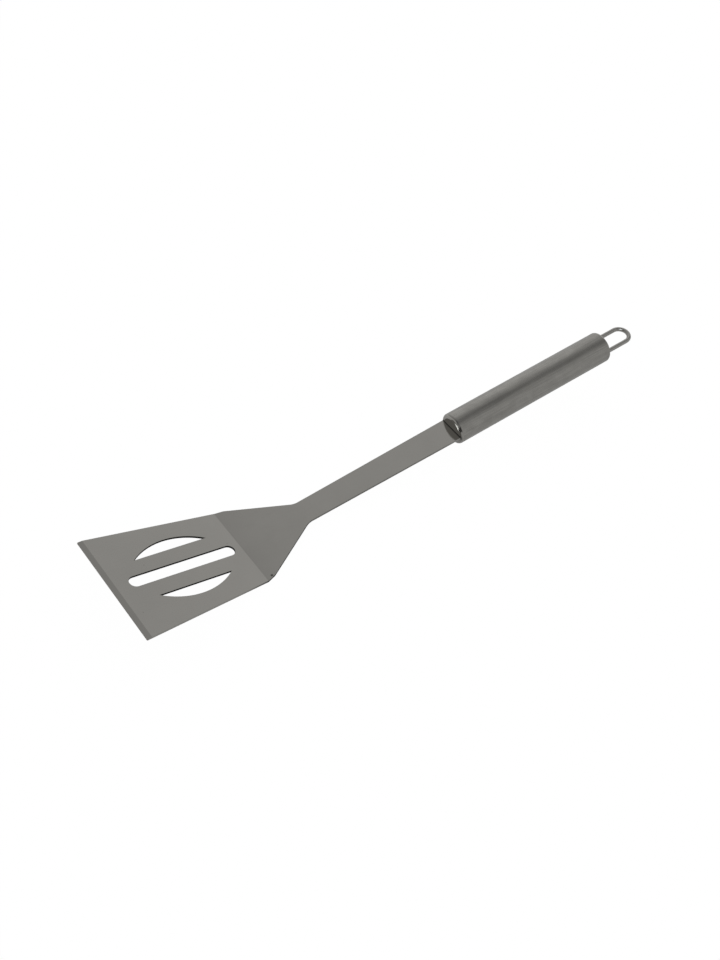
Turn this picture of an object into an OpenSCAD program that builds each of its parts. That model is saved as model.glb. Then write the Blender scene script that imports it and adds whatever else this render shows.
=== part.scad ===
// Grill turner: a slotted, bent blade and its shank pressed from one sheet,
// with a closed tube handle and a fixed wire hanging loop.
// Sizes are in millimetres and angles in degrees. The turner lies as it does on
// a table, on its heel and on the lower front edge of the handle. +X points to
// the handle, +Y to one side and +Z up. The origin is under the middle of it.

/* [Blade] */
// Length of the blade, from the heel bend to the front edge
blade_len = 91.6; // [80:0.1:110]
// Width of the front edge
front_w = 83.8; // [72:0.1:100]
// Width of the sheet across the heel bend
heel_w = 63; // [61:0.1:70]
// Thickness of the sheet
sheet_t = 1.5; // [1:0.1:2]
// Angle by which the blade rises in front of the heel
blade_rise = 17.8; // [10:0.1:26]
// Inner radius of the heel bend
bend_r = 2; // [1:0.1:5]
// Width of the bevel that is ground on top of the front edge
bevel_w = 3.2; // [2:0.1:6]
// Thickness that the bevel leaves at the front edge
edge_t = 0.6; // [0.3:0.1:0.9]
// Radius of the two front corners
front_corner_r = 0.5; // [0.3:0.1:6]

/* [Drain slots] */
// Length of the middle slot
slot_len = 74.3; // [50:0.1:76]
// Width of the middle slot
slot_w = 8.4; // [5:0.1:14]
// Distance from the heel bend to the middle of the three slots
slot_mid = 42.3; // [41:0.1:44]
// Length of the straight side of each side slot
side_slot_len = 50.9; // [36:0.1:60]
// Depth of each side slot, from its straight side to the top of its arc
side_slot_depth = 8.5; // [5:0.1:12]
// Distance from the centre line to the straight side of a side slot
side_slot_y = 15.2; // [10:0.1:18]

/* [Shank] */
// Length of the shank, from the heel bend to the front face of the handle
shank_len = 166.6; // [130:0.1:240]
// Length of the first, slightly tapered stretch behind the heel bend
shoulder_len = 5.6; // [3:0.1:10]
// Width of the sheet where the shoulders begin to run in
shoulder_w = 60; // [50:0.1:60]
// Length of the stretch over which the shoulders run in
taper_len = 39.8; // [30:0.1:55]
// Width of the neck, the narrowest place of the shank
neck_w = 17; // [12:0.1:18]
// Radius of the two shoulder corners
shoulder_r = 6; // [2:0.1:12]
// Radius of the two inner corners at the neck
neck_r = 10; // [4:0.1:20]
// Length of the tang, the end of the shank inside the handle
tang_len = 24; // [10:0.1:50]

/* [Handle] */
// Diameter of the handle
handle_d = 22; // [20:0.1:28]
// Length of the handle, from front face to rear face
handle_len = 133.7; // [100:0.1:180]
// Thickness of the walls of the tube and its caps
wall_t = 1; // [0.8:0.1:1.5]
// Outer radius of the rounded rims of both ends
rim_r = 1.7; // [1.5:0.1:2]
// Diameter of the flat face in the middle of each end
face_d = 16.6; // [15.6:0.1:17]
// Angle at which the ring between a flat face and its rounded rim slopes back
ring_slope = 12; // [8:1:20]
// Depth of each cap, from its face to its butt joint with the tube
cap_depth = 4; // [3.6:0.1:8]

/* [Hanging loop] */
// Diameter of the wire
wire_d = 3; // [2:0.1:3.5]
// Distance between the centre lines of the two legs
loop_w = 13.1; // [9:0.1:13.5]
// Distance from the rear face of the handle to the outside of the loop's end
loop_out = 26; // [16:0.1:40]
// Length of the legs inside the rear face
leg_in = 7; // [4:0.1:16]

/* [Fits and welds] */
// Gap on each side between the tang and the bore of the handle
tang_gap = 0.4; // [0.2:0.1:1]
// Gap around the tang in its slot, and around the legs in their holes
fit_gap = 0.2; // [0.05:0.01:0.3]
// Size of the weld beads inside the handle
bead = 1.6; // [1:0.1:2.2]

/* [Hidden] */
$fn = 96;

// How far every cut runs past the face that it opens
overrun = 2 * sheet_t;

// How far a round at a corner runs past the two sides that it joins, a few
// thousandths, so that it crosses each side in one clear point
round_over = sheet_t / 500;

// The bend takes this much from the blade and from the shank, because both are
// measured to the line where their upper faces would meet without a radius.
bend_setback = bend_r * tan(blade_rise / 2);

// The side slots are segments of one circle size, from their length and depth.
side_arc_r = (pow(side_slot_len / 2, 2) + pow(side_slot_depth, 2)) / (2 * side_slot_depth);
side_arc_y = side_slot_y + side_slot_depth - side_arc_r;

// The neck ends the taper. The handle's axis runs through the middle of the sheet.
neck_x = shoulder_len + taper_len;
axis_z = -sheet_t / 2;
handle_r = handle_d / 2;
bore_r = handle_r - wall_t;
face_r = face_d / 2;
rear_x = shank_len + handle_len;

// The shank widens toward the handle, and just clears its bore there.
tang_w = 2 * (bore_r - tang_gap);

// Depth of a whole rim: the sloping ring, and the round that takes off its corner
rim_depth = ring_height(handle_r, face_r) + rim_r * tan((90 - ring_slope) / 2);

// The flat face on the inner side of a cap, one wall further in
inner_face_r = face_r - wall_t * tan(ring_slope / 2);

// The loop's centre line: two legs and a half circle.
wire_r = wire_d / 2;
loop_r = loop_w / 2;
loop_mid_x = rear_x + loop_out - wire_r - loop_r;

// The turner lies on the round of its heel and on the rounded front rim of the
// handle. Two circles touch the table there, and lay_a is the angle at which the
// table touches both: the heel circle has its centre above the bend, and the rim
// circle is the handle's lower rounding.
heel_circle_r = bend_r + sheet_t;
reach = shank_len + rim_depth - bend_setback;
drop = bend_r - axis_z + handle_r - rim_r;
lay_a = atan2(drop, reach) + asin((rim_r - heel_circle_r) / norm([reach, drop]));
rest_z = heel_circle_r - bend_setback * sin(lay_a) - bend_r * cos(lay_a);

// The front and the rear end of the turner as it lies, and the middle of both
front_end = -blade_len * cos(blade_rise - lay_a) - sheet_t * sin(blade_rise - lay_a);
rear_end = (rear_x + loop_out - wire_r) * cos(lay_a) - axis_z * sin(lay_a) + wire_r;
mid_x = (front_end + rear_end) / 2;

// Puts a piece that is drawn along the flat shank into its lying place
module lay() {
    translate([-mid_x, 0, rest_z]) rotate([0, -lay_a, 0]) children();
}

// Turns a flat piece, drawn forward along +X, up into the plane of the blade
module raise() {
    rotate([0, blade_rise, 0]) rotate([0, 0, 180]) children();
}

// Turns a piece that is drawn up along +Z into the handle's axis, at place x
module along_axis(x) {
    translate([x, 0, axis_z]) rotate([0, 90, 0]) children();
}

// A direction of length 1, and half of the angle between two sides of a corner
function unit(v) = v / norm(v);
function half_angle(p, a, b) = acos(unit(a - p) * unit(b - p)) / 2;

// The small patch between the corner p, with sides toward a and b, and a round
// of radius r. It is cut from an outer corner and added to an inner one, and so it
// runs on past both sides of the corner.
module corner_patch(p, a, b, r) {
    h = half_angle(p, a, b);
    centre = p + unit(unit(a - p) + unit(b - p)) * r / sin(h);
    end_a = p + unit(a - p) * r / tan(h);
    end_b = p + unit(b - p) * r / tan(h);
    difference() {
        polygon([
            centre,
            end_a + unit(end_a - centre) * overrun,
            p + unit(p - centre) * overrun / sin(h),
            end_b + unit(end_b - centre) * overrun
        ]);
        translate(centre) circle(r + round_over);
    }
}

// Repeats a flat shape on both sides of the centre line
module both_sides() {
    children();
    mirror([0, 1]) children();
}

module middle_slot() {
    reach_mid = (slot_len - slot_w) / 2;
    translate([slot_mid - reach_mid, -slot_w / 2]) square([2 * reach_mid, slot_w]);
    for (side = [-1, 1]) translate([slot_mid + side * reach_mid, 0]) circle(d = slot_w);
}

module side_slot() {
    intersection() {
        translate([slot_mid, side_arc_y]) circle(side_arc_r, $fn = 2 * $fn);
        translate([slot_mid - side_slot_len, side_slot_y])
            square([2 * side_slot_len, 2 * side_slot_depth]);
    }
}

// The blade seen from above, forward along +X, with its corners and slots
module blade_plan() {
    heel_a = [bend_setback, heel_w / 2];
    heel_b = [bend_setback, -heel_w / 2];
    front_a = [blade_len, front_w / 2];
    front_b = [blade_len, -front_w / 2];
    difference() {
        polygon([heel_a, front_a, front_b, heel_b]);
        both_sides() corner_patch(front_a, heel_a, front_b, front_corner_r);
        middle_slot();
        both_sides() side_slot();
    }
}

// Takes the ground bevel off the upper side of the front edge
module front_bevel() {
    slope = (sheet_t - edge_t) / bevel_w;
    tip = bevel_w + overrun;
    translate([blade_len - bevel_w, front_w / 2 + overrun, 0]) rotate([90, 0, 0])
        linear_extrude(front_w + 2 * overrun)
            polygon([[0, 0], [tip, -tip * slope], [tip, overrun], [0, overrun]]);
}

module blade() {
    raise() difference() {
        translate([0, 0, -sheet_t]) linear_extrude(sheet_t) blade_plan();
        front_bevel();
    }
}

// The heel bend: a slice of a tube wall as thick as the sheet
module heel_bend() {
    translate([bend_setback, 0, bend_r]) rotate([90, 0, 0]) rotate([0, 0, -90 - blade_rise])
        rotate_extrude(angle = blade_rise)
            translate([bend_r, -heel_w / 2]) square([sheet_t, heel_w]);
}

// The shoulders, neck, shank and tang seen from above
module shank_plan() {
    heel = [bend_setback, heel_w / 2];
    shoulder = [shoulder_len, shoulder_w / 2];
    neck = [neck_x, neck_w / 2];
    mouth = [shank_len, tang_w / 2];
    tang_end = [shank_len + tang_len, tang_w / 2];
    near = [heel, shoulder, neck, mouth, tang_end];
    far = [for (i = [len(near) - 1:-1:0]) [near[i].x, -near[i].y]];
    difference() {
        union() {
            polygon(concat(near, far));
            both_sides() corner_patch(neck, shoulder, mouth, neck_r);
        }
        both_sides() corner_patch(shoulder, heel, neck, shoulder_r);
    }
}

module blade_and_shank() {
    color("#84827c") lay() union() {
        blade();
        heel_bend();
        translate([0, 0, -sheet_t]) linear_extrude(sheet_t) shank_plan();
    }
}

module handle_tube() {
    color("#7d7b75") lay() along_axis(shank_len + cap_depth) difference() {
        cylinder(h = handle_len - 2 * cap_depth, r = handle_r);
        translate([0, 0, -overrun])
            cylinder(h = handle_len - 2 * cap_depth + 2 * overrun, r = bore_r);
    }
}

// How far the sloping ring around a flat face falls back, up to the corner that it
// would make with the side of a body with radius r
function ring_height(r, flat_r) = (r - flat_r) * tan(ring_slope);

// Half section of a body with one closed end: a flat face, a ring that slopes back
// and a round up to the side. It turns about the Y axis of the drawing.
module rounded_end(r, round_r, flat_r, depth) {
    flat_edge = [flat_r, 0];
    corner = [r, ring_height(r, flat_r)];
    side_end = [r, depth];
    difference() {
        polygon([[0, 0], flat_edge, corner, side_end, [0, depth]]);
        corner_patch(corner, flat_edge, side_end, round_r);
    }
}

// A pressed cap: its face lies at 0 and its open end at cap_depth along +Z
module cap_cup() {
    rotate_extrude() difference() {
        rounded_end(handle_r, rim_r, face_r, cap_depth);
        translate([0, wall_t])
            rounded_end(bore_r, rim_r - wall_t, inner_face_r, cap_depth);
    }
}

// The hollow of a cap, which the weld beads on the legs may not leave
module cap_hollow() {
    translate([0, 0, wall_t]) rotate_extrude()
        rounded_end(bore_r, rim_r - wall_t, inner_face_r, cap_depth);
}

module front_cap() {
    slot_h = sheet_t + 2 * fit_gap;
    slot_y = tang_w + 2 * fit_gap;
    color("#8c8a85") lay() difference() {
        along_axis(shank_len) cap_cup();
        translate([shank_len - overrun, -slot_y / 2, axis_z - slot_h / 2])
            cube([rim_depth + overrun, slot_y, slot_h]);
    }
}

module rear_cap() {
    color("#8c8a85") lay() along_axis(rear_x) difference() {
        mirror([0, 0, 1]) cap_cup();
        for (side = [-1, 1]) translate([0, side * loop_r, -rim_depth - wall_t])
            cylinder(h = rim_depth + wall_t + overrun, r = wire_r + fit_gap);
    }
}

module hanging_loop() {
    leg_len = loop_mid_x - rear_x + leg_in;
    color("#8a8883") lay() union() {
        for (side = [-1, 1]) translate([0, side * loop_r, 0])
            along_axis(rear_x - leg_in) cylinder(h = leg_len, r = wire_r);
        translate([loop_mid_x, 0, axis_z]) rotate([0, 0, -90])
            rotate_extrude(angle = 180) translate([loop_r, 0]) circle(wire_r);
    }
}

// Two fillet beads that hold the tang to the inner face of the front cap
module shank_weld() {
    bead_len = 2 * sqrt(pow(inner_face_r, 2) - pow(sheet_t / 2 + bead, 2)) - 2 * fit_gap;
    color("#6f6c66") lay() translate([shank_len + wall_t, bead_len / 2, axis_z])
        rotate([90, 0, 0]) for (side = [0, 1]) mirror([0, side, 0])
            translate([0, sheet_t / 2, 0]) linear_extrude(bead_len)
                polygon([[0, 0], [bead, 0], [0, bead]]);
}

// Two ring beads that hold the legs to the inner face of the rear cap
module loop_welds() {
    color("#6f6c66") lay() along_axis(rear_x) mirror([0, 0, 1])
        for (side = [-1, 1]) intersection() {
            translate([0, side * loop_r, wall_t]) rotate_extrude()
                translate([wire_r, 0]) polygon([[0, 0], [bead, 0], [0, bead]]);
            cap_hollow();
        }
}

blade_and_shank();
handle_tube();
front_cap();
rear_cap();
hanging_loop();
shank_weld();
loop_welds();
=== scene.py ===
# %% [markdown]
# # A grill turner in pressed and welded stainless steel
#
# The turner is a slotted sheet with a heel bend, a round tube handle that is closed
# by two pressed caps, and a wire loop to hang it from. Its sizes come from a packed
# model, which is loaded first and is never moved. The pieces that show are then
# modelled again with soft edges and finer rounds, each in the same place, and each
# gets a steel finish of its own. At the end come the floor, the light and the camera.

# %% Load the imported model
import math

import bmesh
import bpy
from mathutils import Matrix, Vector


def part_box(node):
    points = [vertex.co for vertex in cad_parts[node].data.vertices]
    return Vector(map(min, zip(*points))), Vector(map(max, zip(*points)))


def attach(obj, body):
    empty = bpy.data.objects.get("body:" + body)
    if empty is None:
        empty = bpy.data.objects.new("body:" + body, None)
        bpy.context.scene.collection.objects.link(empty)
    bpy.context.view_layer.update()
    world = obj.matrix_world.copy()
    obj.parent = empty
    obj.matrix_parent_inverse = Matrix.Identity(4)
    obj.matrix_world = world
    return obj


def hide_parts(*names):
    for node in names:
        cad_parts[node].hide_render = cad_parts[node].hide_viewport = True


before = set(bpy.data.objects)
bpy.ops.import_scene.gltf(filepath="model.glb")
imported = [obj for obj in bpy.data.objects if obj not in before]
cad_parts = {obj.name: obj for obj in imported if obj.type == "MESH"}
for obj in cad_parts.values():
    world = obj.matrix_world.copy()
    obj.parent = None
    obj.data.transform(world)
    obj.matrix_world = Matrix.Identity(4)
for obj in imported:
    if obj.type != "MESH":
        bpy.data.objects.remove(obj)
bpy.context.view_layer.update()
print("nodes:", ", ".join(sorted(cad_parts)))

# %% [markdown]
# ## Sizes
#
# A drawing first, the model second. Each size of the real turner has a name here, so
# that a cell below reads like a sentence from the workshop. Lengths are in metres,
# because that is what the scene uses. One helper turns the millimetres of the drawing
# into metres.


# %% The drawing
def mm(length):
    return length / 1000


blade_len, front_w, heel_w, shoulder_w = mm(91.6), mm(83.8), mm(63), mm(60)
sheet_t, bend_r, bevel_w, edge_t, front_corner_r = mm(1.5), mm(2), mm(3.2), mm(0.6), mm(0.5)
slot_len, slot_w, slot_mid = mm(74.3), mm(8.4), mm(42.3)
side_slot_len, side_slot_depth, side_slot_y = mm(50.9), mm(8.5), mm(15.2)
shank_len, shoulder_len, taper_len, neck_w = mm(166.6), mm(5.6), mm(39.8), mm(17)
shoulder_r, neck_r, tang_len, tang_gap = mm(6), mm(10), mm(24), mm(0.4)
handle_r, handle_len, wall_t, cap_depth = mm(11), mm(133.7), mm(1), mm(4)
rim_r, face_r, ring_slope = mm(1.7), mm(8.3), math.radians(12)
wire_r, loop_r, loop_out, leg_in, fit_gap = mm(1.5), mm(6.55), mm(26), mm(7), mm(0.2)
sheet_break, cap_break = mm(0.08), mm(0.06)
blade_rise = math.radians(17.8)

# The rest follows from those sizes.
bend_setback = bend_r * math.tan(blade_rise / 2)
axis_z = -sheet_t / 2
tang_w = 2 * (handle_r - wall_t - tang_gap)
neck_x = shoulder_len + taper_len
rear_x = shank_len + handle_len
loop_mid_x = rear_x + loop_out - wire_r - loop_r
side_arc_r = ((side_slot_len / 2) ** 2 + side_slot_depth**2) / (2 * side_slot_depth)
side_arc_y = side_slot_y + side_slot_depth - side_arc_r
ring_h = (handle_r - face_r) * math.tan(ring_slope)
rim_setback = rim_r * math.tan((math.pi / 2 - ring_slope) / 2)
rim_depth = ring_h + rim_setback
print("from the heel to the back of the handle:", round(1000 * rear_x, 1), "mm")

# %% [markdown]
# ## Where the turner lies
#
# The pieces are drawn with the flat shank level and the heel bend at the origin. On a
# table the turner tips a little: it rests on the round of its heel and on the lower
# front rim of the handle. Both touch the table as circles do, and the angle at which one
# straight line touches two circles has a plain formula. The same move then puts every
# finished piece in its place.

# %% The lying place
heel_circle_r = bend_r + sheet_t
reach = shank_len + rim_depth - bend_setback
drop = bend_r - axis_z + handle_r - rim_r
lay_a = math.atan2(drop, reach) + math.asin((rim_r - heel_circle_r) / math.hypot(reach, drop))
rest_z = heel_circle_r - bend_setback * math.sin(lay_a) - bend_r * math.cos(lay_a)
front_end = -blade_len * math.cos(blade_rise - lay_a) - sheet_t * math.sin(blade_rise - lay_a)
rear_end = (rear_x + loop_out - wire_r) * math.cos(lay_a) - axis_z * math.sin(lay_a) + wire_r
mid_x = (front_end + rear_end) / 2
lay = Matrix.Translation((-mid_x, 0, rest_z)) @ Matrix.Rotation(-lay_a, 4, "Y")
raise_blade = Matrix.Rotation(blade_rise, 4, "Y") @ Matrix.Rotation(math.pi, 4, "Z")
print("the shank tips by", round(math.degrees(lay_a), 2), "degrees")

# %% [markdown]
# ## Tools for the bench
#
# Mesh operators act on what is selected, so each cell below first deselects everything
# and then picks faces, edges or corners by where they are. These few helpers do the
# picking. Further tools are made in the cells that need them first.

# %% Helpers
TINY = mm(0.01)
SMOOTH_BELOW = math.radians(40)


def deselect_all():
    if bpy.context.object and bpy.context.object.mode != "OBJECT":
        bpy.ops.object.mode_set(mode="OBJECT")
    bpy.ops.object.select_all(action="DESELECT")


def take(piece):
    deselect_all()
    piece.select_set(True)
    bpy.context.view_layer.objects.active = piece


def new_piece(name):
    piece = bpy.context.object
    piece.name = piece.data.name = name
    return piece


def pick(kind, test):
    """In edit mode, selects just the corners, edges or faces that pass the test."""
    bpy.ops.mesh.select_mode(type={"verts": "VERT", "edges": "EDGE", "faces": "FACE"}[kind])
    bpy.ops.mesh.select_all(action="DESELECT")
    mesh = bmesh.from_edit_mesh(bpy.context.object.data)
    found = [item for item in getattr(mesh, kind) if test(item)]
    for item in found:
        item.select_set(True)
    mesh.select_flush_mode()
    bmesh.update_edit_mesh(bpy.context.object.data)
    return len(found)


def middle(edge):
    return (edge.verts[0].co + edge.verts[1].co) / 2


def scale_by(x, y, z, centre=(0, 0, 0)):
    bpy.ops.transform.resize(value=(x, y, z), center_override=centre)


def apply_moves(piece):
    take(piece)
    bpy.ops.object.transform_apply(location=True, rotation=True, scale=True)

# %% [markdown]
# ## The pressed sheet
#
# Blade, heel and shank are one blank of 1.5 mm sheet. A blank has no thickness on the
# drawing, and so it starts here as one flat strip, the tang, whose end is pulled forward
# station by station: to the neck, the shoulders, the heel and up to the front edge. It
# could also be traced as one long outline, but then a change of one width would mean
# moving many points. The lines across the flat shank are dissolved again, so that the
# shoulder, neck and front corners can be rounded as corners of a clean outline.

# %% The flat blank
deselect_all()
bpy.ops.mesh.primitive_plane_add(size=1, location=(shank_len + tang_len / 2, 0, 0))
sheet = new_piece("pressed_sheet")
sheet.scale = (tang_len, tang_w, 1)
apply_moves(sheet)
bpy.ops.object.mode_set(mode="EDIT")

stations = [
    ((neck_x, 0, 0), neck_w),
    ((shoulder_len, 0, 0), shoulder_w),
    ((0, 0, 0), heel_w),
    ((-blade_len * math.cos(blade_rise), 0, blade_len * math.sin(blade_rise)), front_w),
]
here, width = Vector((shank_len, 0, 0)), tang_w
pick("edges", lambda e: all(abs(v.co.x - shank_len) < TINY for v in e.verts))
for there, new_width in stations:
    move = Vector(there) - here
    bpy.ops.mesh.extrude_edges_move(TRANSFORM_OT_translate={"value": move})
    scale_by(1, new_width / width, 1, there)
    here, width = Vector(there), new_width

pick("edges", lambda e: len(e.link_faces) == 2 and middle(e).x > TINY)
bpy.ops.mesh.dissolve_edges(use_verts=False)
sheet.update_from_editmode()
print("corners of the blank:", len(sheet.data.vertices))

# %% [markdown]
# The corners of the outline are cut round. Bevelling a point of a flat sheet rounds it,
# and the offset for a wanted radius is that radius times the tangent of half the angle
# by which the outline turns there.


# %% Round its corners
def round_corners(x, y, turn, radius, segments=12):
    """Rounds the corners at x on both sides, where the outline turns by this angle."""
    pick("verts", lambda v: abs(v.co.x - x) < TINY and abs(abs(v.co.y) - y) < TINY)
    bpy.ops.mesh.bevel(affect="VERTICES", offset=radius * math.tan(turn / 2), segments=segments)


outline = [(0, heel_w / 2), (shoulder_len, shoulder_w / 2), (neck_x, neck_w / 2), (shank_len, tang_w / 2)]
outline = [Vector(point) for point in outline]
for index, radius in ((1, shoulder_r), (2, neck_r)):
    before, corner, after = outline[index - 1 : index + 2]
    round_corners(*corner, (corner - before).angle(after - corner), radius)

front_turn = math.pi / 2 + math.atan2((front_w - heel_w) / 2, blade_len)
round_corners(-blade_len * math.cos(blade_rise), front_w / 2, front_turn, front_corner_r, segments=8)
sheet.update_from_editmode()
print("points of the rounded blank:", len(sheet.data.vertices))

# %% [markdown]
# The heel is bent in a press brake, which leaves a true arc. Bevelling the fold line
# with eight segments gives that arc on the inside. Solidify then adds the thickness
# below, square to the sheet, and the outside of the bend comes out as the larger arc.


# %% Bend the heel and give the blank its thickness
def modify(piece, kind, **settings):
    """Adds a modifier with these settings and applies it."""
    take(piece)
    modifier = piece.modifiers.new(kind.lower(), kind)
    for name, value in settings.items():
        setattr(modifier, name, value)
    bpy.ops.object.modifier_apply(modifier=modifier.name)


pick("edges", lambda e: all(abs(v.co.x) < TINY and abs(v.co.z) < TINY for v in e.verts))
bpy.ops.mesh.bevel(affect="EDGES", offset=bend_setback, segments=8, clamp_overlap=False)
bpy.ops.mesh.select_all(action="SELECT")
bpy.ops.mesh.normals_make_consistent(inside=False)
bpy.ops.object.mode_set(mode="OBJECT")
if sheet.data.polygons[0].normal.z < 0:
    sheet.data.flip_normals()
modify(sheet, "SOLIDIFY", thickness=sheet_t, offset=-1, use_even_offset=True)
print("bent sheet:", len(sheet.data.polygons), "faces")

# %% [markdown]
# ## The three drain slots and the ground edge
#
# The slots are punched. Each punch is modelled as the steel tool it would be: a block
# with round ends for the middle slot, and a disc that is cut straight on one side for
# each side slot. The three are joined to one tool and tilted with the blade.


# %% The punches
def add_block(name, size, location):
    """A block with its size and place applied, so that it is edited in true lengths."""
    deselect_all()
    bpy.ops.mesh.primitive_cube_add(size=1, location=location)
    block = new_piece(name)
    block.scale = size
    apply_moves(block)
    return block


def move_piece(piece, matrix):
    piece.matrix_world = matrix @ piece.matrix_world
    apply_moves(piece)


punch_h, DISC_SIDES = 6 * sheet_t, 288
punches = add_block("punches", (slot_len, slot_w, punch_h), (slot_mid, 0, 0))
bpy.ops.object.mode_set(mode="EDIT")
pick("edges", lambda e: abs(e.verts[0].co.z - e.verts[1].co.z) > punch_h / 2)
bpy.ops.mesh.bevel(affect="EDGES", offset=slot_w / 2, segments=24)
bpy.ops.mesh.select_all(action="SELECT")
bpy.ops.mesh.remove_doubles(threshold=TINY / 2)

for side in (1, -1):
    deselect_all()
    bpy.ops.mesh.primitive_cylinder_add(vertices=DISC_SIDES, radius=side_arc_r, depth=punch_h,
                                        location=(slot_mid, side * side_arc_y, 0))
    disc = new_piece("side_punch")
    apply_moves(disc)
    bpy.ops.object.mode_set(mode="EDIT")
    bpy.ops.mesh.select_all(action="SELECT")
    bpy.ops.mesh.bisect(plane_co=(0, side * side_slot_y, 0), plane_no=(0, side, 0),
                        use_fill=True, clear_inner=True)
    deselect_all()
    punches.select_set(True)
    disc.select_set(True)
    bpy.context.view_layer.objects.active = punches
    bpy.ops.object.join()
move_piece(punches, raise_blade)
print("punches:", len(punches.data.polygons), "faces")

# %% [markdown]
# The bevel of the front edge is ground. A block that is tilted by the angle of the bevel
# takes it off the upper side. A Boolean drives the block and the punches through the
# sheet, and each tool is put away when it has done its work.


# %% Punch and grind
def cut(piece, tool):
    """Takes the shape of the tool out of the piece, and puts the tool away."""
    modify(piece, "BOOLEAN", object=tool, operation="DIFFERENCE", solver="EXACT")
    bpy.data.objects.remove(tool)


grind = math.atan2(sheet_t - edge_t, bevel_w)
bevel_line_x = blade_len - bevel_w
block = add_block("grinding_block", (2 * bevel_w, 2 * front_w, bevel_w), (bevel_w, 0, bevel_w / 2))
tilt = Matrix.Translation((bevel_line_x, 0, 0)) @ Matrix.Rotation(grind, 4, "Y")
move_piece(block, raise_blade @ tilt)
for tool in (punches, block):
    cut(sheet, tool)
print("the bevel slopes by", round(math.degrees(grind), 1), "degrees")

# %% [markdown]
# A shear and a punch leave sharp edges, and the maker breaks them, so every edge gets a
# narrow round that catches the light. The attribute called edge notes which faces are
# such rounds, for the finishes. The line where the ground bevel begins is too flat to
# need one. It is marked sharp instead, because shading must not flow over it, and so are
# the short edges that carry it on over the rounds at both its ends.

# %% Break its edges
FOLD, CREASE = math.radians(30), math.radians(60)


def soften(piece, width, keep=lambda edge: False):
    """Breaks edges above FOLD, apart from those to keep, and shades smooth up to CREASE."""
    take(piece)
    bpy.ops.object.mode_set(mode="EDIT")
    pick("edges", lambda e: e.is_manifold and e.calc_face_angle() > FOLD and not keep(e))
    bpy.ops.transform.edge_bevelweight(value=1)
    bpy.ops.object.mode_set(mode="OBJECT")
    modify(piece, "BEVEL", width=width, segments=2, limit_method="WEIGHT",
           miter_outer="MITER_SHARP", use_clamp_overlap=True, face_strength_mode="FSTR_NEW")
    bpy.ops.object.shade_smooth_by_angle(angle=CREASE)
    strength = piece.data.attributes["__mod_weightednormals_faceweight"].data
    edge = piece.data.attributes.new("edge", "FLOAT", "CORNER").data
    for face in piece.data.polygons:
        for corner in face.loop_indices:
            edge[corner].value = float(strength[face.index].value < 0)


def mark_sharp(piece, test):
    """Marks the edges that pass the test, so that shading stops at them."""
    take(piece)
    bpy.ops.object.mode_set(mode="EDIT")
    print(f"{piece.name}: {pick('edges', test)} edges marked sharp")
    bpy.ops.mesh.mark_sharp()
    bpy.ops.object.mode_set(mode="OBJECT")


def even_normals(piece):
    modify(piece, "WEIGHTED_NORMAL", keep_sharp=True, weight=50, mode="FACE_AREA")


to_blade = raise_blade.inverted()


def on_bevel_line(edge, along=mm(0.05), upward=mm(0.1)):
    ends = [to_blade @ v.co for v in edge.verts]
    return all(abs(p.x - bevel_line_x) < along and abs(p.z) < upward for p in ends)


soften(sheet, sheet_break)
mark_sharp(sheet, on_bevel_line)
even_normals(sheet)
print("pressed sheet:", len(sheet.data.polygons), "faces")

# %% [markdown]
# ## The handle tube
#
# The handle is a length of thin tube, brushed lengthwise. An open cylinder is its
# outside, and Solidify gives it the wall. The cylinder has many sides, because a
# highlight that runs along a tube shows every flat.

# %% The tube
ROUND_SIDES = 192
tube_len = handle_len - 2 * cap_depth
along_x = (0, math.pi / 2, 0)


def seat(x):
    """A place on the handle's axis, x along the shank."""
    return (x, 0, axis_z)


deselect_all()
bpy.ops.mesh.primitive_cylinder_add(
    vertices=ROUND_SIDES, radius=handle_r, depth=tube_len, end_fill_type="NOTHING",
    location=seat(shank_len + handle_len / 2), rotation=along_x,
)
tube = new_piece("brushed_handle")
apply_moves(tube)
modify(tube, "SOLIDIFY", thickness=wall_t, offset=-1, use_even_offset=True)
bpy.ops.object.shade_smooth_by_angle(angle=SMOOTH_BELOW)
print("tube:", round(1000 * tube_len, 1), "mm long")

# %% [markdown]
# ## The two end caps
#
# Each cap is pressed from a disc: a flat face, a ring that slopes back a little, a round
# rim and a short skirt, all of one wall. A short cylinder with one closed end becomes a
# cap when that end is pushed out and drawn in to the flat face, and the corner behind it
# is bevelled to the rim's round. A lathed profile would give the same form, but each
# step of the press shows here. The openings are cut last, wider than what goes in, so
# that a thin dark line shows around it.


# %% A cap
def pressed_cap(name, face_x, inward):
    """Its flat face is at face_x, and its open end looks along inward, +1 or -1."""
    deselect_all()
    open_x, corner_x = face_x + inward * cap_depth, face_x + inward * ring_h
    bpy.ops.mesh.primitive_cylinder_add(
        vertices=ROUND_SIDES, radius=handle_r, depth=cap_depth - ring_h, end_fill_type="NGON",
        location=seat((open_x + corner_x) / 2), rotation=along_x,
    )
    cap = new_piece(name)
    apply_moves(cap)
    bpy.ops.object.mode_set(mode="EDIT")
    pick("faces", lambda f: len(f.verts) > 4 and abs(f.calc_center_median().x - open_x) < TINY)
    bpy.ops.mesh.delete(type="ONLY_FACE")
    pick("faces", lambda f: len(f.verts) > 4)
    bpy.ops.mesh.extrude_region_move(TRANSFORM_OT_translate={"value": (face_x - corner_x, 0, 0)})
    scale_by(1, face_r / handle_r, face_r / handle_r, seat(face_x))
    pick("edges", lambda e: all(abs(v.co.x - corner_x) < TINY for v in e.verts))
    bpy.ops.mesh.bevel(affect="EDGES", offset=rim_setback, segments=16, clamp_overlap=False)
    bpy.ops.object.mode_set(mode="OBJECT")
    modify(cap, "SOLIDIFY", thickness=wall_t, offset=-1, use_even_offset=True)
    return cap

# %% [markdown]
# The front cap has a slot for the tang, with a little room all round.

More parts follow.
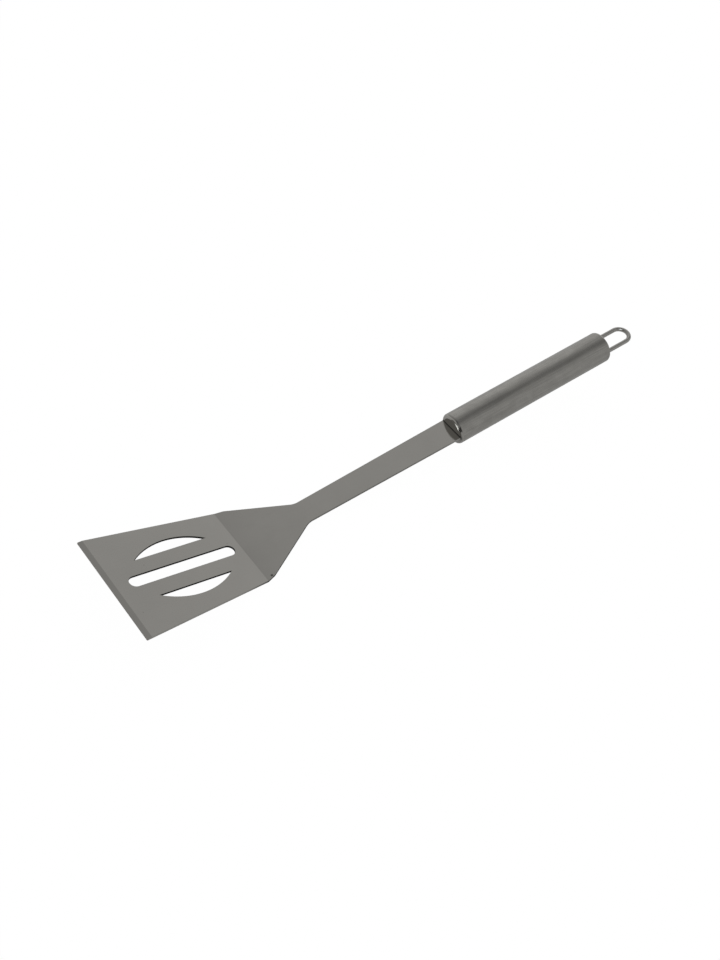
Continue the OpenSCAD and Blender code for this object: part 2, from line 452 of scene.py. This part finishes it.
# %% The front cap and its slot
front = pressed_cap("polished_front_cap", shank_len, 1)
slot_size = (2 * rim_depth, tang_w + 2 * fit_gap, sheet_t + 2 * fit_gap)
cut(front, add_block("slot_tool", slot_size, seat(shank_len)))
print("front cap:", len(front.data.polygons), "faces")

# %% [markdown]
# The rear cap has two drilled holes for the legs of the loop, with the same room.

# %% The rear cap and its leg holes
HOLE_SIDES = 64
rear = pressed_cap("polished_rear_cap", rear_x, -1)
for side in (1, -1):
    deselect_all()
    bpy.ops.mesh.primitive_cylinder_add(
        vertices=HOLE_SIDES, radius=wire_r + fit_gap, depth=4 * rim_r,
        location=(rear_x, side * loop_r, axis_z), rotation=along_x,
    )
    drill = new_piece("drill")
    apply_moves(drill)
    cut(rear, drill)
print("rear cap:", len(rear.data.polygons), "faces")

# %% [markdown]
# The edges of both caps are broken like those of the sheet. Only the open end stays as
# it is, because it is welded to the tube there and ground flush. The circle round the
# flat face is marked sharp, so that the face ends in a clean line.


# %% Break the edges of the caps
def on_face_circle(face_x):
    """A test for the edges of the circle round the flat face."""
    def test(edge):
        far_out = [math.hypot(v.co.y, v.co.z - axis_z) for v in edge.verts]
        return abs(middle(edge).x - face_x) < TINY and all(abs(r - face_r) < TINY for r in far_out)

    return test


for cap, face_x, inward in ((front, shank_len, 1), (rear, rear_x, -1)):
    open_x = face_x + inward * cap_depth
    soften(cap, cap_break, keep=lambda edge: abs(middle(edge).x - open_x) < TINY)
    mark_sharp(cap, on_face_circle(face_x))
    even_normals(cap)

# %% [markdown]
# ## The hanging loop
#
# The loop is one wire with a half circle bend. Its round section is drawn once, pulled
# out as the first leg, swept round by Spin for the bend and pulled out again as the
# second leg. A curve with a round bevel would do as well, but this way every ring of
# the wire sits exactly where the drawing wants it.

# %% The wire
WIRE_SIDES, BEND_STEPS = 48, 64
leg_len = loop_mid_x - rear_x + leg_in
deselect_all()
bpy.ops.mesh.primitive_circle_add(
    vertices=WIRE_SIDES, radius=wire_r, fill_type="NGON",
    location=(rear_x - leg_in, -loop_r, axis_z), rotation=along_x,
)
loop = new_piece("wire_loop")
apply_moves(loop)
bpy.ops.object.mode_set(mode="EDIT")
bpy.ops.mesh.select_mode(type="FACE")
bpy.ops.mesh.select_all(action="SELECT")
bpy.ops.mesh.extrude_region_move(TRANSFORM_OT_translate={"value": (leg_len, 0, 0)})
bpy.ops.mesh.spin(steps=BEND_STEPS, angle=math.pi, center=(loop_mid_x, 0, axis_z), axis=(0, 0, -1))
bpy.ops.mesh.extrude_region_move(TRANSFORM_OT_translate={"value": (-leg_len, 0, 0)})
bpy.ops.mesh.select_all(action="SELECT")
bpy.ops.mesh.remove_doubles(threshold=TINY / 10)
bpy.ops.mesh.normals_make_consistent(inside=False)
bpy.ops.object.mode_set(mode="OBJECT")
bpy.ops.object.shade_smooth_by_angle(angle=SMOOTH_BELOW)
print("wire:", round(1000 * (2 * leg_len + math.pi * loop_r), 1), "mm long")

# %% [markdown]
# ## Steel finishes
#
# All the steel here is the same stainless alloy. What differs is how it was finished:
# the sheet is satin, the tube is brushed lengthwise, and the caps and the wire are
# polished. So each finish is a metallic shader with its own roughness, and the marks
# that vary it come from shared node groups. The first helper adds a node and sets or
# links its inputs by their names, which keeps the cells below short.


# %% A node and its inputs
def add_node(tree, kind, inputs=(), **settings):
    """Adds a node. An input that is a socket is linked, and any other value is set."""
    node = tree.nodes.new(kind)
    for name, value in settings.items():
        setattr(node, name, value)
    for name, value in dict(inputs).items():
        if isinstance(value, bpy.types.NodeSocket):
            tree.links.new(value, node.inputs[name])
        else:
            node.inputs[name].default_value = value
    return node


def ramp(tree, source, stops):
    """A colour ramp from a list of (place, brightness)."""
    node = add_node(tree, "ShaderNodeValToRGB", {"Fac": source})
    elements = node.color_ramp.elements
    while len(elements) < len(stops):
        elements.new(0.5)
    for element, (position, level) in zip(elements, stops):
        element.position = position
        element.color = (level, level, level, 1)
    return node.outputs["Color"]


def math_node(tree, operation, first, second=0.0):
    return add_node(tree, "ShaderNodeMath", {0: first, 1: second}, operation=operation).outputs[0]


def new_group(name, inputs, output):
    """A shader node group with named inputs and one output between 0 and 1."""
    group = bpy.data.node_groups.new(name, "ShaderNodeTree")
    for label, kind, value in inputs:
        socket = group.interface.new_socket(label, in_out="INPUT", socket_type=kind)
        if value is not None:
            socket.default_value = value
    group.interface.new_socket(output, in_out="OUTPUT", socket_type="NodeSocketFloat")
    start = group.nodes.new("NodeGroupInput").outputs
    end = group.nodes.new("NodeGroupOutput").inputs
    return group, start, end


def use_group(tree, group, inputs):
    return add_node(tree, "ShaderNodeGroup", inputs, node_tree=group).outputs[0]

# %% [markdown]
# ## The marks that the finishes share
#
# Brushing leaves lines: noise that is stretched along the direction of the work. Hands
# and cloths leave soft smudges, which is noise at the size of a finger. Use leaves a
# few fine scratches. Each of these is one node group, and each material places it with
# its own sizes.

# %% Lines, smudges and scratches
PLACE = ("Place", "NodeSocketVector", None)


def stretched_noise(tree, place, sizes, detail):
    """Noise whose grains have these sizes along X, Y and Z."""
    size = add_node(tree, "ShaderNodeCombineXYZ", dict(zip("XYZ", sizes))).outputs[0]
    scaled = add_node(tree, "ShaderNodeVectorMath", {0: place, 1: size}, operation="DIVIDE")
    noise = add_node(tree, "ShaderNodeTexNoise",
                     {"Vector": scaled.outputs[0], "Scale": 1, "Detail": detail, "Roughness": 0.6})
    return noise.outputs["Fac"]


def spread(tree, source, low, high, to_low=0, to_high=1):
    """Stretches the values between low and high to those between to_low and to_high."""
    limits = {"Value": source, "From Min": low, "From Max": high, "To Min": to_low, "To Max": to_high}
    return add_node(tree, "ShaderNodeMapRange", limits).outputs[0]


def near(tree, source, centre, inside, outside):
    """1 where the source is within inside of the centre, 0 past outside, smooth between."""
    off = math_node(tree, "ABSOLUTE", math_node(tree, "SUBTRACT", source, centre))
    limits = {"Value": off, "From Min": inside, "From Max": outside, "To Min": 1, "To Max": 0}
    return add_node(tree, "ShaderNodeMapRange", limits, interpolation_type="SMOOTHSTEP").outputs[0]


def make_lines_group():
    sizes = [("Length", "NodeSocketFloat", mm(30)), ("Width", "NodeSocketFloat", mm(0.3)),
             ("Depth", "NodeSocketFloat", mm(0.3))]
    group, start, end = new_group("brushed_lines", [PLACE] + sizes, "Lines")
    grain = (start["Length"], start["Width"], start["Depth"])
    lines = stretched_noise(group, start["Place"], grain, 4)
    group.links.new(spread(group, lines, 0.3, 0.7), end["Lines"])
    return group


def make_smudges_group():
    group, start, end = new_group("smudges", [PLACE, ("Size", "NodeSocketFloat", mm(20))], "Smudges")
    smudges = stretched_noise(group, start["Place"], (start["Size"],) * 3, 3)
    group.links.new(spread(group, smudges, 0.32, 0.68), end["Smudges"])
    return group


def make_scratches_group():
    sizes = [("Turn", "NodeSocketFloat", 0.3), ("Length", "NodeSocketFloat", mm(14)),
             ("Width", "NodeSocketFloat", mm(0.12))]
    group, start, end = new_group("scratches", [PLACE] + sizes, "Scratches")
    turned = add_node(group, "ShaderNodeVectorRotate", {"Vector": start["Place"], "Angle": start["Turn"]},
                      rotation_type="Z_AXIS").outputs[0]
    grain = (start["Length"], start["Width"], start["Length"])
    lines = stretched_noise(group, turned, grain, 0)
    group.links.new(spread(group, lines, 0.74, 0.8), end["Scratches"])
    return group


# %% [markdown]
# Small dark specks are dots at the centres of a few cells of a Voronoi texture. The
# broken edges are rubbed bright, in patches, where the attribute called edge is 1.


# %% Specks and worn edges
def make_specks_group():
    sizes = [("Spacing", "NodeSocketFloat", mm(6)), ("Size", "NodeSocketFloat", 0.05),
             ("Share", "NodeSocketFloat", 0.3)]
    group, start, end = new_group("specks", [PLACE] + sizes, "Specks")
    scale = math_node(group, "DIVIDE", 1, start["Spacing"])
    cells = add_node(group, "ShaderNodeTexVoronoi", {"Vector": start["Place"], "Scale": scale})
    dot = math_node(group, "LESS_THAN", cells.outputs["Distance"], start["Size"])
    chance = add_node(group, "ShaderNodeSeparateColor", {0: cells.outputs["Color"]}).outputs[0]
    chosen = math_node(group, "LESS_THAN", chance, start["Share"])
    group.links.new(math_node(group, "MULTIPLY", dot, chosen), end["Specks"])
    return group


def make_wear_group():
    group, start, end = new_group("worn_edges", [PLACE, ("Size", "NodeSocketFloat", mm(3))], "Wear")
    edge = add_node(group, "ShaderNodeAttribute", attribute_name="edge").outputs["Fac"]
    patches = stretched_noise(group, start["Place"], (start["Size"],) * 3, 2)
    patchy = spread(group, patches, 0.35, 0.6, 0.4)
    group.links.new(math_node(group, "MULTIPLY", edge, patchy), end["Wear"])
    return group


# %% [markdown]
# Some marks have a place of their own. A mask for such a spot is a smooth band along one
# axis of the drawing, times a band along the next. The painted shade in the crevice where
# the tang enters the handle lies on the sheet and on the cap, so it is a group as well.


# %% Marks at one spot
def spot(tree, place, **bands):
    """1 at a spot and 0 away from it. A band is (centre, inside, outside), as for near."""
    axes = add_node(tree, "ShaderNodeSeparateXYZ", {0: place}).outputs
    mask = 1.0
    for axis, band in bands.items():
        mask = math_node(tree, "MULTIPLY", near(tree, axes[axis], *band), mask)
    return mask


# Painted shade: this darkens the colour in the crevice where the tang enters the handle.
def make_crevice_shade_group():
    group, start, end = new_group("crevice_painted_shade", [PLACE, ("Reach", "NodeSocketFloat", mm(0.4))], "Shade")
    reach = start["Reach"]
    far = math_node(group, "ADD", reach, reach)
    height, far_height = (math_node(group, "ADD", size, sheet_t / 2) for size in (reach, far))
    painted_shade = spot(group, start["Place"], X=(shank_len, reach, far), Z=(axis_z, height, far_height))
    group.links.new(painted_shade, end["Shade"])
    return group


lines_group = make_lines_group()
smudges_group = make_smudges_group()
scratches_group = make_scratches_group()
specks_group = make_specks_group()
wear_group = make_wear_group()
crevice_shade_group = make_crevice_shade_group()
print("shared marks:", ", ".join(group.name for group in bpy.data.node_groups))

# %% [markdown]
# ## The five finishes
#
# A finish is put together in the same way each time. The steel's colour is darkened a
# little by smudges and specks. The roughness starts at the finish's own value, and the
# lines, smudges and wear raise or lower it. The brushed lines also go into a weak bump,
# which breaks up reflections as real brushing does, and so do the smudges of the welds.


# %% A steel finish
def finish(name, colour, roughness, marks):
    """A steel material. Each mark is (source, darkening, change of roughness, height)."""
    material = bpy.data.materials.new(name)
    material.use_nodes = True
    tree = material.node_tree
    shader = tree.nodes["Principled BSDF"]
    shader.inputs["Metallic"].default_value = 1
    dark, rough, height = 0.0, roughness, 0.0
    for source, darkening, roughening, rise in marks(tree):
        if darkening:
            dark = math_node(tree, "ADD", math_node(tree, "MULTIPLY", source, darkening), dark)
        if roughening:
            rough = math_node(tree, "ADD", math_node(tree, "MULTIPLY", source, roughening), rough)
        if rise:
            height = math_node(tree, "ADD", math_node(tree, "MULTIPLY", source, rise), height)
    light = math_node(tree, "SUBTRACT", 1, dark)
    tone = add_node(tree, "ShaderNodeVectorMath", {0: colour, "Scale": light}, operation="SCALE").outputs[0]
    tree.links.new(tone, shader.inputs["Base Color"])
    tree.links.new(rough, shader.inputs["Roughness"])
    bump = add_node(tree, "ShaderNodeBump", {"Height": height, "Strength": 1, "Distance": 1})
    tree.links.new(bump.outputs[0], shader.inputs["Normal"])
    print("finish:", name, "with roughness", roughness)
    return material


def drawing_place(tree):
    """Object coordinates, moved back to the drawing: X along the shank, the heel at 0."""
    place = add_node(tree, "ShaderNodeTexCoord").outputs["Object"]
    undo = lay.inverted()
    moves = {"Vector": place, "Location": undo.translation, "Rotation": undo.to_euler()}
    return add_node(tree, "ShaderNodeMapping", moves).outputs[0]


def brushing(tree, place, length, width, depth):
    sizes = {"Place": place, "Length": length, "Width": width, "Depth": depth}
    return use_group(tree, lines_group, sizes)


# %% [markdown]
# The sheet is satin, with lines too fine to be seen one by one. A darker line runs across
# its heel bend, and one shoulder has a small dark spot just behind the heel.

# %% The satin sheet
STEEL = (0.56, 0.545, 0.51)
micron = mm(0.001)


def satin_marks(tree):
    place = drawing_place(tree)
    # A darker line across the heel bend.
    heel_dark_line = spot(tree, place, X=(0, bend_setback, 2 * bend_setback))
    # A small dark spot on one shoulder, just behind the heel.
    shoulder_dark_spot = spot(tree, place, X=(mm(3.7), mm(0.4), mm(1)), Y=(mm(-29.2), mm(0.4), mm(1)))
    return [
        (brushing(tree, place, mm(40), mm(0.25), mm(40)), 0.03, 0.02, 0.5 * micron),
        (use_group(tree, smudges_group, {"Place": place, "Size": mm(26)}), 0.04, 0.03, 0),
        (use_group(tree, scratches_group, {"Place": place, "Turn": 0.4}), 0.05, 0.05, 0),
        (use_group(tree, specks_group, {"Place": place, "Spacing": mm(9)}), 0.2, 0.1, 0),
        (use_group(tree, wear_group, {"Place": place}), -0.1, 0, 0),
        # Painted shade in the crevice where the tang enters the handle.
        (use_group(tree, crevice_shade_group, {"Place": place}), 0.4, 0.1, 0),
        (heel_dark_line, 0.1, 0.05, 0),
        (shoulder_dark_spot, 0.7, 0.1, 0),
    ]


satin_sheet = finish("satin_sheet", STEEL, 0.08, satin_marks)

# %% [markdown]
# The tube is brushed with a coarser belt: long lines that can be felt, and finer and
# shorter ones between them. Both run along the handle.

# %% The brushed tube
BRUSHED_STEEL = (0.645, 0.63, 0.59)


def brushed_marks(tree):
    place = drawing_place(tree)
    return [
        (brushing(tree, place, mm(35), mm(0.9), mm(0.9)), 0.2, 0.08, 5 * micron),
        (brushing(tree, place, mm(12), mm(0.2), mm(0.2)), 0.1, 0.05, 1 * micron),
        (use_group(tree, smudges_group, {"Place": place, "Size": mm(7)}), 0.1, 0.05, 0),
        (use_group(tree, specks_group, {"Place": place, "Spacing": mm(9)}), 0.4, 0.2, 0),
        (use_group(tree, wear_group, {"Place": place}), -0.1, -0.08, 0),
    ]


brushed_tube = finish("brushed_tube", BRUSHED_STEEL, 0.18, brushed_marks)

# %% [markdown]
# The caps are polished, so a few smudges and scratches are all that breaks what they
# mirror, apart from painted shade by the tang and one painted dark reflection on the rim
# of the front cap.
# The wire is polished less, and its drawing left fine lines along it.

# %% The polished caps and wire
POLISHED_STEEL = (0.63, 0.615, 0.58)


def polished_marks(tree):
    place = drawing_place(tree)
    # A painted dark reflection: a dark spot painted on the rim of the front cap.
    rim_dark_reflection = spot(tree, place, X=(shank_len + mm(0.75), mm(0.45), mm(0.8)),
                     Y=(mm(-7.9), mm(0.8), mm(1.5)), Z=(mm(6.3), mm(1.5), mm(2.5)))
    return [
        (use_group(tree, smudges_group, {"Place": place, "Size": mm(6)}), 0.03, 0.04, 0),
        (use_group(tree, scratches_group, {"Place": place, "Turn": 1.1, "Length": mm(5)}), 0.04, 0.1, 0),
        (use_group(tree, wear_group, {"Place": place}), -0.1, 0, 0),
        # Painted shade in the crevice where the tang enters the handle.
        (use_group(tree, crevice_shade_group, {"Place": place}), 0.4, 0.1, 0),
        # The painted dark reflection on the rim of the front cap.
        (rim_dark_reflection, 0.8, 0.1, 0),
    ]


def wire_marks(tree):
    place = drawing_place(tree)
    return [
        (brushing(tree, place, mm(12), mm(0.25), mm(0.25)), 0.05, 0.05, 0.5 * micron),
        (use_group(tree, smudges_group, {"Place": place, "Size": mm(3)}), 0.08, 0.05, 0),
    ]


polished_cap = finish("polished_cap", STEEL, 0.08, polished_marks)
polished_wire = finish("polished_wire", POLISHED_STEEL, 0.22, wire_marks)

# %% [markdown]
# The weld beads inside the handle stay as they were welded: darker, dull and uneven.

# %% The weld beads
WELD_STEEL = (0.42, 0.39, 0.35)


def weld_marks(tree):
    place = drawing_place(tree)
    return [
        (use_group(tree, smudges_group, {"Place": place, "Size": mm(2)}), 0.5, 0.2, 30 * micron),
        (use_group(tree, specks_group, {"Place": place, "Spacing": mm(1), "Size": 0.3}), 0.4, 0.2, 0),
    ]


weld_steel = finish("weld_steel", WELD_STEEL, 0.45, weld_marks)

# %% [markdown]
# ## Put the pieces in place
#
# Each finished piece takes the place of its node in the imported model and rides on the
# one body that the turner has. The printed numbers say how far its box is off. The
# skirts of the caps were brushed together with the tube, so they share its finish, and
# only the faces and rims are polished. The weld beads inside the handle keep their
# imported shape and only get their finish.


# %% Finished pieces
def finish_piece(piece, node, slot, *materials):
    """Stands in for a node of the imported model, and says how far its box is off."""
    move_piece(piece, lay)
    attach(piece, "root")
    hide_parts(node)
    for material in materials:
        piece.data.materials.append(material)
    low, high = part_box(node)
    points = [v.co for v in piece.data.vertices]
    off = max(max(abs(min(p[i] for p in points) - low[i]), abs(max(p[i] for p in points) - high[i]))
              for i in range(3))
    print(f"{piece.name}: {len(piece.data.polygons)} faces, box off by {1000 * off:.2f} mm")


def brush_skirt(cap, face_x):
    """Gives the faces behind the rim the tube's finish, because they were brushed with it."""
    cap.data.materials.append(brushed_tube)
    behind = [face for face in cap.data.polygons if abs(face.center.x - face_x) > rim_depth]
    for face in behind:
        face.material_index = 1
    print(cap.name, "brushed faces:", len(behind))


finish_piece(sheet, "blade_and_shank", "brushed_sheet", satin_sheet)
finish_piece(tube, "handle_tube", "brushed_tube", brushed_tube)
for cap, node, face_x in ((front, "front_cap", shank_len), (rear, "rear_cap", rear_x)):
    cap.data.materials.append(polished_cap)
    brush_skirt(cap, face_x)
    finish_piece(cap, node, "polished_cap")
finish_piece(loop, "hanging_loop", "polished_wire", polished_wire)
for name in ("shank_weld", "loop_welds"):
    for own_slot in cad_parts[name].material_slots:
        own_slot.material = weld_steel

# %% [markdown]
# ## Floor, light and camera
#
# The turner lies on a plain white floor in a white studio. Polished steel has no colour
# of its own to speak of, so its looks come from what it mirrors. The studio is brighter
# on the far side, +Y, and dimmer in front, with a dark gap overhead that draws the dark
# streak along the tube. The camera itself sees the walls and the floor as plain white.
# The floor that the steel mirrors could be left to the renderer as well, but as in the
# photo it has to be bright beside the handle and dark under the blade. So it has a level
# of its own, which fades from the far side to the near one, and dark patches lie under
# the blade and the shank.

# %% The studio's walls
WHITE = 1.0
# The level all round the handle, by the angle in degrees from straight up to +Y.
WALL_LEVELS = [(-180, 0.37), (-60, 0.395), (-35, 0.325), (-10, 0.19), (-2, 0.19), (22, 0.37),
               (32, 0.44), (44, 0.45), (56, 0.53), (100, 0.53), (180, 0.42)]
# The share of it along the handle, from 0 at the blade's end to 1 at the loop's end.
END_LEVELS = [(0, 1), (0.05, 0.6), (0.15, 0.55), (0.28, 0.5), (0.35, 0.7), (0.55, 0.75), (0.58, 0.71),
              (0.6, 0.71), (0.609, 0.82), (0.63, 0.9), (0.69, 0.94), (0.8, 0.92), (0.85, 1)]


def empty_tree(owner):
    """The node tree of a world or a material, without the nodes that it starts with."""
    owner.use_nodes = True
    owner.node_tree.nodes.clear()
    return owner.node_tree


def show_by_ray(tree, mirrored, seen, output):
    """Shows the camera the shader called seen, and everything else the mirrored one."""
    camera_ray = add_node(tree, "ShaderNodeLightPath").outputs["Is Camera Ray"]
    both = add_node(tree, "ShaderNodeMixShader", {0: camera_ray, 1: mirrored, 2: seen}).outputs[0]
    add_node(tree, output, {"Surface": both})


def build_studio():
    world = bpy.data.worlds.new("white_studio")
    bpy.context.scene.world = world
    tree = empty_tree(world)
    toward = add_node(tree, "ShaderNodeTexCoord").outputs["Generated"]
    parts = add_node(tree, "ShaderNodeSeparateXYZ", {0: toward}).outputs
    around = spread(tree, math_node(tree, "ARCTAN2", parts["Y"], parts["Z"]), -math.pi, math.pi)
    along = spread(tree, parts["X"], -1, 1)
    walls = ramp(tree, around, [((angle + 180) / 360, level) for angle, level in WALL_LEVELS])
    ends = ramp(tree, along, END_LEVELS)
    level = add_node(tree, "ShaderNodeVectorMath", {0: walls, 1: ends}, operation="MULTIPLY").outputs[0]
    mirrored = add_node(tree, "ShaderNodeBackground", {"Color": level}).outputs[0]
    seen = add_node(tree, "ShaderNodeBackground", {"Color": (WHITE, WHITE, WHITE, 1)}).outputs[0]
    show_by_ray(tree, mirrored, seen, "ShaderNodeOutputWorld")
    print("world:", world.name, "with", len(tree.nodes), "nodes")


build_studio()

# %% [markdown]
# The camera sees a floor of matt white that also glows a little, as white as the walls.
# The steel mirrors a plain level instead. The patches under the turner are darkest
# under the blade, where the sheet keeps the light off, and weaker beside the shank.

# %% The floor
FLOOR_SIZE, PAINT = 8, (0.8, 0.8, 0.8, 1)
glow, glow_share = 1.06 * WHITE, 0.93
near_y, far_y, near_level, far_level = mm(-20), mm(60), 0.345, 0.46
front_x, heel_x, cap_x = -mid_x - blade_len, -mid_x, shank_len - mid_x
# How dark each patch is, from which x to which, its half width and how far it fades.
PATCHES = [
    (0.95, front_x + mm(2), heel_x, heel_w / 2 - mm(2), mm(8)),
    (0.7, heel_x + shoulder_len, heel_x + neck_x, heel_w / 2, mm(5)),
    (0.42, heel_x, cap_x - mm(8), mm(12), mm(14)),
]


def mirrored_floor(tree):
    """How bright the floor is that the steel mirrors."""
    place = add_node(tree, "ShaderNodeTexCoord").outputs["Object"]
    across = add_node(tree, "ShaderNodeSeparateXYZ", {0: place}).outputs["Y"]
    open_floor = spread(tree, across, near_y, far_y, near_level, far_level)
    dark = 0.0
    for depth, low_x, high_x, half_y, fade in PATCHES:
        half_x = (high_x - low_x) / 2
        patch = spot(tree, place, X=(low_x + half_x, half_x, half_x + fade), Y=(0, half_y, half_y + fade))
        dark = math_node(tree, "MAXIMUM", math_node(tree, "MULTIPLY", patch, depth), dark)
    level = math_node(tree, "MULTIPLY", open_floor, math_node(tree, "SUBTRACT", 1, dark))
    return add_node(tree, "ShaderNodeEmission", {"Strength": level}).outputs[0]


def floor_material():
    material = bpy.data.materials.new("white_floor")
    tree = empty_tree(material)
    matt = add_node(tree, "ShaderNodeBsdfDiffuse", {"Color": PAINT}).outputs[0]
    own_light = add_node(tree, "ShaderNodeEmission", {"Strength": glow}).outputs[0]
    seen = add_node(tree, "ShaderNodeMixShader", {0: glow_share, 1: matt, 2: own_light}).outputs[0]
    show_by_ray(tree, mirrored_floor(tree), seen, "ShaderNodeOutputMaterial")
    return material


deselect_all()
bpy.ops.mesh.primitive_plane_add(size=FLOOR_SIZE)
floor = new_piece("studio_floor")
floor.data.materials.append(floor_material())
print("floor:", [round(size, 2) for size in floor.dimensions], "m")

# %% [markdown]
# Two small highlights are left that the studio's walls can't give. One softbox behind
# the camera puts the highlight on the bend of the loop. A second one, far out in front,
# shines on the sheet, which throws its light up onto the rim of the front cap. Each
# softbox is linked to the one piece that it is there for, as a photographer flags off
# the rest.

# %% The two softboxes
DAYLIGHT = (0.87, 0.93, 1)


def softbox(name, position, target, size, radiance, lit):
    """A square lamp that shines on one piece only."""
    deselect_all()
    bpy.ops.object.light_add(type="AREA", location=position)
    lamp = bpy.context.object
    lamp.name = name
    lamp.data.size = size
    lamp.data.energy = radiance * math.pi * size**2
    lamp.data.color = DAYLIGHT
    lamp.rotation_euler = (target - position).to_track_quat("-Z", "Y").to_euler()
    lamp.visible_camera = False
    lamp.light_linking.receiver_collection = bpy.data.collections.new(name)
    lamp.light_linking.receiver_collection.objects.link(lit)
    print(name, "lights", lit.name)


by_camera, loop_bend = Vector((-0.5, -0.59, 0.95)), Vector((mm(190), 0, mm(20)))
cap_place = Vector((cap_x, 0, mm(22)))
far_in_front = cap_place + Vector((-0.88, 0.37, 0.54))
softbox("softbox_by_camera", by_camera, loop_bend, size=0.6, radiance=2.3, lit=loop)
softbox("softbox_in_front", far_in_front, cap_place, size=0.12, radiance=3, lit=sheet)

# %% [markdown]
# The camera stands where the photo was taken: in front of the blade, to one side and
# well above. It is set by what a photographer would note: the point on the floor that
# it aims at, its distance, its turn round the upright, its height angle and its roll.

# %% The camera
aim = Vector((-0.02341, 0.00478, 0))
distance = 0.87245
turn, height_angle, roll = math.radians(-39.3419), math.radians(49.1443), math.radians(4.6837)
looking = Vector((-math.sin(turn) * math.cos(height_angle),
                  math.cos(turn) * math.cos(height_angle), -math.sin(height_angle)))
deselect_all()
bpy.ops.object.camera_add(location=aim - distance * looking)
camera = bpy.context.object
camera.name = "camera"
camera.data.lens = 50
camera.rotation_euler = (looking.to_track_quat("-Z", "Y").to_matrix()
                         @ Matrix.Rotation(roll, 3, "Z")).to_euler()
bpy.context.scene.camera = camera
bpy.context.scene.view_settings.view_transform = "Standard"
print("camera at", [round(x, 3) for x in camera.location], "m")
